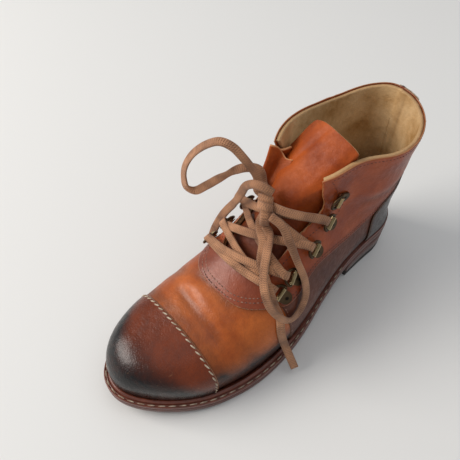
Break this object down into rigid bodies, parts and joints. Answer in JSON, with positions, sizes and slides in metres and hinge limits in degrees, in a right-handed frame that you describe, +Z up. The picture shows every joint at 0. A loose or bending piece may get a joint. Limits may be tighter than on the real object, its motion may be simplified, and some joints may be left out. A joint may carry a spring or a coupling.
{
  "type": "trekking boot",
  "caption": "Left lace-up ankle boot in burnished leather with a toe cap, D-ring lacing tied in a bow, a stitched welt and a low stacked heel, hollow inside",
  "frame": {"origin": "on the floor under the heel", "axes": "+Y to the heel's back, toe to -Y; +X to the wearer's outer side; +Z up"},
  "size_m": [0.1206, 0.2796, 0.1549],
  "materials": {
    "upper_leather": "waxed, burnished",
    "burnished_leather": "dark burnished, polished",
    "tongue_leather": "soft grained",
    "sole_leather": "stained edge",
    "welt_leather": "satin",
    "insole_leather": "matt",
    "heel_rubber": "matt",
    "lace": "flat woven, waxed",
    "aged_brass": "antique, satin"
  },
  "bodies": {
    "boot": {"outsole": "sole_leather", "heel": "sole_leather", "top_lift": "heel_rubber", "welt": "welt_leather", "insole": "insole_leather", "upper": "upper_leather", "toe_cap": "burnished_leather", "facing": "upper_leather", "counter": "burnished_leather", "back_strip": "burnished_leather", "tongue": "tongue_leather", "lacing": "lace", "ring_outer_1": "aged_brass", "ring_outer_2": "aged_brass", "ring_outer_3": "aged_brass", "ring_outer_4": "aged_brass", "ring_inner_1": "aged_brass", "ring_inner_2": "aged_brass", "ring_inner_3": "aged_brass", "ring_inner_4": "aged_brass", "ring_plate_outer_1": "aged_brass", "ring_plate_outer_2": "aged_brass", "ring_plate_outer_3": "aged_brass", "ring_plate_outer_4": "aged_brass", "ring_plate_outer_5": "aged_brass", "ring_plate_inner_1": "aged_brass", "ring_plate_inner_2": "aged_brass", "ring_plate_inner_3": "aged_brass", "ring_plate_inner_4": "aged_brass", "ring_plate_inner_5": "aged_brass", "lace_knot": "lace", "lace_loop_inner": "lace", "lace_loop_outer": "lace", "lace_end_outer": "lace", "lace_end_inner": "lace"},
    "top_ring_outer": {"ring_outer_5": "aged_brass"},
    "top_ring_inner": {"ring_inner_5": "aged_brass"}
  },
  "joints": [
    {"name": "top_ring_outer_turn", "type": "hinge", "parent": "boot", "child": "top_ring_outer", "pos_m": [0.02645, -0.06977, 0.11151], "axis": [0.1373, 0.1527, 0.9787], "range_deg": [-10, 100]},
    {"name": "top_ring_inner_turn", "type": "hinge", "parent": "boot", "child": "top_ring_inner", "pos_m": [-0.02864, -0.07813, 0.11432], "axis": [0.1953, -0.2041, -0.9593], "range_deg": [-10, 100]}
  ]
}
